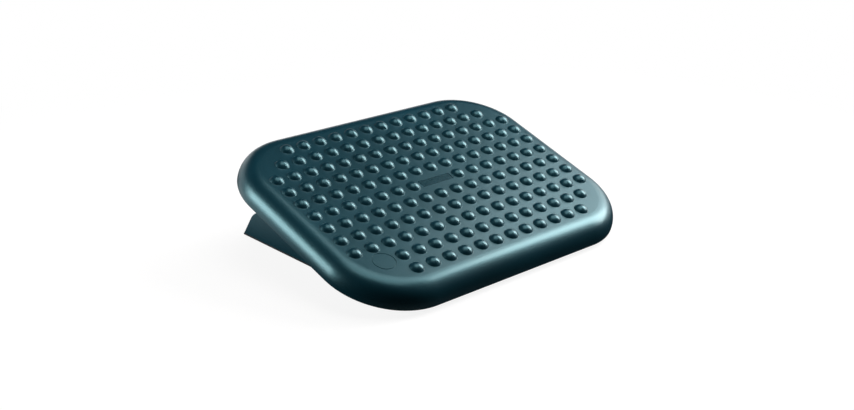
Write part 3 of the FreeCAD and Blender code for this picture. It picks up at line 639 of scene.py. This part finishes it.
def rolled_rim(tree, given, path):
    """The rim, outside and inside, as a section swept round the flat's outline."""
    roll, rim, lip = given["Roll"], given["Rim height"], given["Lip round"]
    inner_roll = less(tree, roll, given["Wall"])
    lip_side = less(tree, roll, lip)
    lip_top = less(tree, rim, lip)
    return sweep(
        tree,
        path,
        [
            arc(tree, (0.0, roll), roll, -QUARTER, QUARTER, ROLL_SIDES),
            line(tree, (roll, roll), (roll, lip_top)),
            arc(tree, (lip_side, lip_top), lip, 0.0, QUARTER, LIP_SIDES),
            line(tree, (lip_side, rim), (inner_roll, rim)),
            line(tree, (inner_roll, rim), (inner_roll, roll)),
            arc(tree, (0.0, roll), inner_roll, 0.0, -QUARTER, INNER_ROLL_SIDES),
        ],
    )


def tray_skin(tree, given, path):
    """The tray's closed wall, with its rim, bumps, plate recess and the ring groove at the disc."""
    wall, recess, sunk = given["Wall"], given["Plate recess"], given["Disc depth"]
    dome, reach, dimple, hollow_reach = bump_shapes(tree, given)
    points = bump_points(tree, given["Pitch"])
    plate = outline(tree, given["Plate length"], given["Plate width"])
    disc_place = [times(tree, given["Pitch"], step) for step in DISC_STEPS]
    disc = moved(tree, circle(tree, given["Disc radius"], DISC_SIDES), *disc_place)
    inner_radius = less(tree, given["Disc radius"], given["Disc groove"])
    inner_disc = moved(tree, circle(tree, inner_radius, DISC_SIDES), *disc_place)
    pockets = [
        sweep(tree, plate, [line(tree, (0.0, 0.0), (0.0, recess))]),
        filled(tree, [plate], times(tree, recess, -1.0)),
        sweep(tree, disc, [line(tree, (0.0, 0.0), (0.0, sunk))]),
        filled(tree, [disc, inner_disc], times(tree, sunk, -1.0)),
        sweep(tree, inner_disc, [line(tree, (0.0, 0.0), (0.0, sunk))]),
        filled(tree, [inner_disc]),
    ]
    feet = at_points(tree, points, circle(tree, reach, BUMP_SIDES), HALF_FACET)
    hollow_feet = at_points(tree, points, circle(tree, hollow_reach, DIMPLE_SIDES))
    skin = [
        rolled_rim(tree, given, path),
        filled(tree, [path, feet, plate, disc]),
        filled(tree, [path, hollow_feet], times(tree, wall, -1.0)),
        at_points(tree, points, dome, HALF_FACET),
        at_points(tree, points, dimple),
    ]
    feeds = {"Geometry": join(tree, skin + pockets), "Distance": MERGE_REACH}
    return place_node(tree, "GeometryNodeMergeByDistance", feeds).outputs[0]


def rib_slabs(tree, points, across, along, tall):
    """An upright slab at each point, with its size in each direction."""
    feeds = {"Size": vector(tree, across, along, tall)}
    slab = place_node(tree, "GeometryNodeMeshCube", feeds).outputs["Mesh"]
    return at_points(tree, points, slab)


def rib_lattice(tree, given, path, half_wall):
    """The ribs under the tread, trimmed halfway into the wall where they run into the rim."""
    roll, rim = given["Roll"], given["Rim height"]
    pitch, thin = given["Pitch"], given["Rib thickness"]
    middle_roll = less(tree, roll, half_wall)
    block_sweep = sweep(
        tree,
        path,
        [
            arc(tree, (0.0, roll), middle_roll, -QUARTER, QUARTER, INNER_ROLL_SIDES),
            line(tree, (middle_roll, roll), (middle_roll, rim)),
        ],
    )
    block = place_node(tree, "GeometryNodeConvexHull", {0: block_sweep}).outputs[0]
    tall = add(tree, given["Rib depth"], half_wall)
    depth = given["Tread depth"]
    half_width = times(tree, given["Tread width"], 0.5)
    inner_reach = times(tree, pitch, LONG_RIB_STEPS)
    outer_rib = times(tree, pitch, OUTER_RIB_STEPS)
    straight = less(tree, depth, times(tree, given["Corner radius"], 2.0))
    cross_reach = times(tree, pitch, CROSS_RIB_STEPS)
    end_reach = times(tree, pitch, END_RIB_STEPS)
    end_length = less(tree, half_width, outer_rib)
    long_points = grid_points(tree, LONG_RIBS, 1, inner_reach, 0.0)
    outer_points = grid_points(tree, 2, 1, times(tree, outer_rib, 2.0), 0.0)
    cross_points = grid_points(tree, 1, CROSS_RIBS, 0.0, cross_reach)
    end_points = grid_points(tree, 2, 2, add(tree, half_width, outer_rib), end_reach)
    rows = [
        rib_slabs(tree, long_points, thin, depth, tall),
        rib_slabs(tree, outer_points, thin, straight, tall),
        rib_slabs(tree, cross_points, inner_reach, thin, tall),
        rib_slabs(tree, end_points, end_length, thin, tall),
    ]
    level = less(tree, times(tree, tall, -0.5), half_wall)
    lattice = moved(tree, boolean(tree, "UNION", rows), z=level)
    return boolean(tree, "INTERSECT", [lattice, block])


def boss_rows(tree, points, middle, top, low, radius):
    """Round bosses under the tread, from inside its wall down to their ends."""
    feeds = {"Vertices": POST_SIDES, "Radius": radius, "Depth": less(tree, low, top)}
    post = place_node(tree, "GeometryNodeMeshCylinder", feeds).outputs["Mesh"]
    level = times(tree, add(tree, low, top), -0.5)
    return moved(tree, at_points(tree, points, post), y=middle, z=level)


def all_bosses(tree, given, half_wall):
    """The bosses for the brackets' screws and for the stop pads' stems."""
    screw_radius, pad_radius = given["Screw boss radius"], given["Pad boss radius"]
    lowest = add(tree, given["Wall"], given["Rib depth"])
    bosses = []
    for span in SCREW_SPANS:
        points = grid_points(tree, 2, 2, span, SCREW_SPREAD)
        bosses.append(boss_rows(tree, points, SCREW_MIDDLE, half_wall, lowest, screw_radius))
    for middle, depth in PAD_BOSSES:
        points = grid_points(tree, 2, 1, PAD_SPAN, 0.0)
        bosses.append(boss_rows(tree, points, middle, half_wall, depth, pad_radius))
    return bosses


def make_tray_tree():
    """The whole tray, tipped about the axle as it stands at rest."""
    takes = {name: ("NodeSocketFloat", value) for name, value in TRAY_SIZES.items()}
    takes["Finish"] = ("NodeSocketMaterial", None)
    gives = {"Geometry": "NodeSocketGeometry"}
    tree, given, made = new_group("Massage tray", "GeometryNodeTree", takes, gives)
    roll = given["Roll"]
    flat_width = less(tree, given["Tread width"], times(tree, roll, 2.0))
    flat_depth = less(tree, given["Tread depth"], times(tree, roll, 2.0))
    path = outline(tree, flat_width, flat_depth, less(tree, given["Corner radius"], roll))
    half_wall = times(tree, given["Wall"], 0.5)
    skin = tray_skin(tree, given, path)
    lattice = rib_lattice(tree, given, path, half_wall)
    tray = join(tree, [skin, lattice] + all_bosses(tree, given, half_wall))
    tray = moved(tree, tray, y=times(tree, given["Axle setback"], -1.0), z=given["Axle drop"])
    feeds = {"Geometry": tray, "Rotation": (REST_TILT, 0.0, 0.0), "Translation": AXLE}
    tray = place_node(tree, "GeometryNodeTransform", feeds).outputs[0]
    angle = place_node(tree, "GeometryNodeInputMeshEdgeAngle").outputs["Unsigned Angle"]
    sharp = maths(tree, "GREATER_THAN", angle, CREASE)
    feeds = {"Geometry": tray, "Selection": sharp, "Shade Smooth": False}
    tray = place_node(tree, "GeometryNodeSetShadeSmooth", feeds, domain="EDGE").outputs[0]
    tray = place_node(tree, "GeometryNodeRealizeInstances", {0: tray}).outputs[0]
    feeds = {"Geometry": tray, "Material": given["Finish"]}
    tree.links.new(place_node(tree, "GeometryNodeSetMaterial", feeds).outputs[0], made["Geometry"])
    return tree


def shape_by_nodes(name, tree, values):
    """Runs a geometry tree with the given values and leaves a plain mesh with outward faces."""
    source_name = name + "_source"
    holder = bpy.data.objects.new(source_name, bpy.data.meshes.new(source_name))
    bpy.context.scene.collection.objects.link(holder)
    modifier = holder.modifiers.new("Shape", "NODES")
    modifier.node_group = tree
    for socket in tree.interface.items_tree:
        if socket.in_out == "INPUT" and socket.name in values:
            modifier[socket.identifier] = values[socket.name]
    seen = holder.evaluated_get(bpy.context.evaluated_depsgraph_get())
    mesh = bpy.data.meshes.new_from_object(seen)
    holder.modifiers.remove(modifier)
    bpy.data.objects.remove(holder)
    edited = bmesh.new()
    edited.from_mesh(mesh)
    bmesh.ops.recalc_face_normals(edited, faces=edited.faces)
    edited.to_mesh(mesh)
    edited.free()
    return even_shading(name, mesh)


def even_shading(name, mesh):
    """Keeps the flats flat where they meet a round, by letting the larger face set the normal."""
    piece = bpy.data.objects.new(name, mesh)
    bpy.context.scene.collection.objects.link(piece)
    weighting = piece.modifiers.new("Shading", "WEIGHTED_NORMAL")
    weighting.keep_sharp = True
    seen = piece.evaluated_get(bpy.context.evaluated_depsgraph_get())
    shaded = bpy.data.meshes.new_from_object(seen)
    piece.modifiers.remove(weighting)
    piece.data = shaded
    shaded.name = name
    bpy.data.meshes.remove(mesh)
    return piece


def make_tread_tray():
    """The tray with its bumps and ribs, in place of the plain packed one."""
    values = dict(TRAY_SIZES)
    values["Finish"] = FINISHES["tray_plastic"]
    tray = shape_by_nodes("tread_tray", make_tray_tree(), values)
    for face in tray.data.polygons:
        face.material_index = 0
    tray.data.materials.clear()
    tray.data.materials.append(FINISHES["tray_plastic"])
    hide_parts("tread_platform")
    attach(tray, "platform")


make_tread_tray()


# Floor and surround


# Away from the camera, and to its left
BEHIND = (0.42, 0.91, 0.0)
BESIDE = (-0.74, 0.67, 0.0)

# Metres
FLOOR_REACH = 6.0
FLOOR_LEVEL = -0.0001
SHADOW_REACH = 1.1

WHITE = (1.0, 1.0, 1.0, 1.0)
PAPER = (0.16, 0.16, 0.16, 1.0)
PAPER_GLOW = 0.87
DIM_FLOOR = (0.012, 0.012, 0.012, 1.0)
DIM_ROOM = (0.01, 0.01, 0.01, 1.0)


def mirror_rays(tree, light_path):
    """One for the rays that are mirrored or refracted, and nothing for the others."""
    glossy, clear = light_path["Is Glossy Ray"], light_path["Is Transmission Ray"]
    return maths(tree, "ADD", glossy, clear, clamp=True)


def floor_as_seen(tree, place, white):
    """White far off, and paper that takes the footrest's shadow close to it."""
    feeds = {0: place, 1: (SHADOW_REACH,) * 3}
    shrunk = place_node(tree, "ShaderNodeVectorMath", feeds, operation="DIVIDE").outputs[0]
    kind = "ShaderNodeTexGradient"
    near = place_node(tree, kind, {0: shrunk}, gradient_type="SPHERICAL").outputs["Fac"]
    paper = place_node(tree, "ShaderNodeBsdfDiffuse", {"Color": PAPER}).outputs[0]
    feeds = {"Color": WHITE, "Strength": PAPER_GLOW}
    glow = place_node(tree, "ShaderNodeEmission", feeds).outputs[0]
    lit = place_node(tree, "ShaderNodeAddShader", {0: paper, 1: glow}).outputs[0]
    return blend_shaders(tree, ramp(tree, near, start=0.15, end=0.6), white, lit)


def floor_as_mirrored(tree, place, white, light_path):
    """White behind the footrest and close to its rear left, and dim elsewhere."""
    dim = place_node(tree, "ShaderNodeBsdfDiffuse", {"Color": DIM_FLOOR}).outputs[0]
    behind = dot(tree, place, BEHIND)
    far = ramp(tree, behind, start=0.5, end=1.8)
    rear = ramp(tree, behind, start=-0.1, end=0.1)
    left = ramp(tree, split(tree, place)["X"], start=-0.16, end=-0.3, top=0.9)
    white_part = maths(tree, "MAXIMUM", far, times(tree, rear, left))
    mirrored = times(tree, mirror_rays(tree, light_path), white_part)
    return blend_shaders(tree, mirrored, dim, white)


def make_floor():
    """A pale floor that meets the white surround, is clear from below and shades no lamp."""
    material, tree, shader = start_finish("Studio floor")
    tree.nodes.remove(shader)
    place = place_node(tree, "ShaderNodeTexCoord").outputs["Object"]
    light_path = place_node(tree, "ShaderNodeLightPath").outputs
    white = place_node(tree, "ShaderNodeEmission", {"Color": WHITE, "Strength": 1.0}).outputs[0]
    seen = floor_as_seen(tree, place, white)
    mirrored = floor_as_mirrored(tree, place, white, light_path)
    surface = blend_shaders(tree, light_path["Is Camera Ray"], mirrored, seen)
    from_below = place_node(tree, "ShaderNodeNewGeometry").outputs["Backfacing"]
    open_to = maths(tree, "MAXIMUM", from_below, light_path["Is Shadow Ray"])
    clear = place_node(tree, "ShaderNodeBsdfTransparent").outputs[0]
    surface = blend_shaders(tree, open_to, surface, clear)
    tree.links.new(surface, tree.nodes["Material Output"].inputs["Surface"])
    mesh = bpy.data.meshes.new("studio_floor")
    ways = ((-1, -1), (1, -1), (1, 1), (-1, 1))
    corners = [(x * FLOOR_REACH, y * FLOOR_REACH, FLOOR_LEVEL) for x, y in ways]
    mesh.from_pydata(corners, [], [(0, 1, 2, 3)])
    mesh.materials.append(material)
    floor = bpy.data.objects.new("studio_floor", mesh)
    bpy.context.scene.collection.objects.link(floor)


def make_surround():
    """White to the camera, white low behind the footrest in its gloss, and a dim room elsewhere."""
    world = bpy.data.worlds.new("Studio surround")
    bpy.context.scene.world = world
    world.use_nodes = True
    tree = world.node_tree
    light_path = place_node(tree, "ShaderNodeLightPath").outputs
    way = place_node(tree, "ShaderNodeTexCoord").outputs["Generated"]
    behind = ramp(tree, dot(tree, way, BEHIND), start=0.0, end=0.5)
    not_beside = ramp(tree, dot(tree, way, BESIDE), start=0.55, end=0.3)
    low = ramp(tree, split(tree, way)["Z"], start=0.2, end=0.05)
    white_part = times(tree, times(tree, behind, not_beside), low)
    mirrored = times(tree, mirror_rays(tree, light_path), white_part)
    seen = maths(tree, "ADD", light_path["Is Camera Ray"], mirrored, clamp=True)
    room = blend_colours(tree, seen, DIM_ROOM, WHITE)
    tree.links.new(room, tree.nodes["Background"].inputs["Color"])


make_floor()
make_surround()


# Lamps and camera


LAMP_CENTRE = Vector((0.0, -0.017, 0.085))


def hang_lamp(name, turn, height, distance, across, tall, power, colour=(1.0, 1.0, 1.0)):
    """A soft box aimed at the tread, turned round it from +X and raised by the given degrees."""
    light = bpy.data.lights.new(name, "AREA")
    light.shape = "RECTANGLE"
    light.size = across
    light.size_y = tall
    light.energy = power
    light.color = colour
    lamp = bpy.data.objects.new(name, light)
    bpy.context.scene.collection.objects.link(lamp)
    turned = Matrix.Rotation(radians(turn), 3, "Z") @ Matrix.Rotation(-radians(height), 3, "Y")
    aim = turned @ Vector((1.0, 0.0, 0.0))
    lamp.location = LAMP_CENTRE + aim * distance
    lamp.rotation_euler = aim.to_track_quat("Z", "Y").to_euler()
    lamp.visible_camera = False


hang_lamp(
    "Key soft box",
    turn=-4,
    height=32,
    distance=1.4,
    across=1.05,
    tall=1.15,
    power=10.8,
)
hang_lamp(
    "Key soft box middle",
    turn=-16.5,
    height=32,
    distance=1.38,
    across=0.56,
    tall=0.94,
    power=15.5,
    colour=(1.0, 0.94, 0.92),
)
hang_lamp(
    "Left soft box",
    turn=145,
    height=14,
    distance=1.4,
    across=0.8,
    tall=0.74,
    power=5.0,
)
hang_lamp(
    "Left soft box middle",
    turn=149.5,
    height=16,
    distance=1.38,
    across=0.52,
    tall=0.46,
    power=6.2,
    colour=(1.0, 0.93, 0.91),
)
hang_lamp(
    "Overhead soft box",
    turn=315,
    height=83,
    distance=1.4,
    across=1.13,
    tall=1.13,
    power=10.0,
)
hang_lamp(
    "Rear soft box",
    turn=100,
    height=12,
    distance=1.4,
    across=1.0,
    tall=0.5,
    power=1.2,
)
hang_lamp(
    "Under soft box",
    turn=270,
    height=-85,
    distance=0.7,
    across=0.9,
    tall=0.7,
    power=4.5,
)


CAMERA_PLACE = Vector((-0.98725, -1.08115, 0.59593))
CAMERA_FORWARD = Vector((0.63142, 0.69113, -0.35164))
CAMERA_RIGHT = Vector((0.73963, -0.673, 0.00537))


def place_camera():
    view = bpy.data.cameras.new("Camera")
    view.lens = 51.784
    view.sensor_width = 36.0
    view.sensor_fit = "HORIZONTAL"
    view.clip_start = 0.05
    view.clip_end = 50.0
    camera = bpy.data.objects.new("Camera", view)
    bpy.context.scene.collection.objects.link(camera)
    forward = CAMERA_FORWARD.normalized()
    up = CAMERA_RIGHT.cross(forward).normalized()
    right = forward.cross(up)
    turned = Matrix((right, up, -forward)).transposed().to_4x4()
    camera.matrix_world = Matrix.Translation(CAMERA_PLACE) @ turned
    bpy.context.scene.camera = camera


place_camera()
bpy.context.scene.view_settings.view_transform = "Standard"
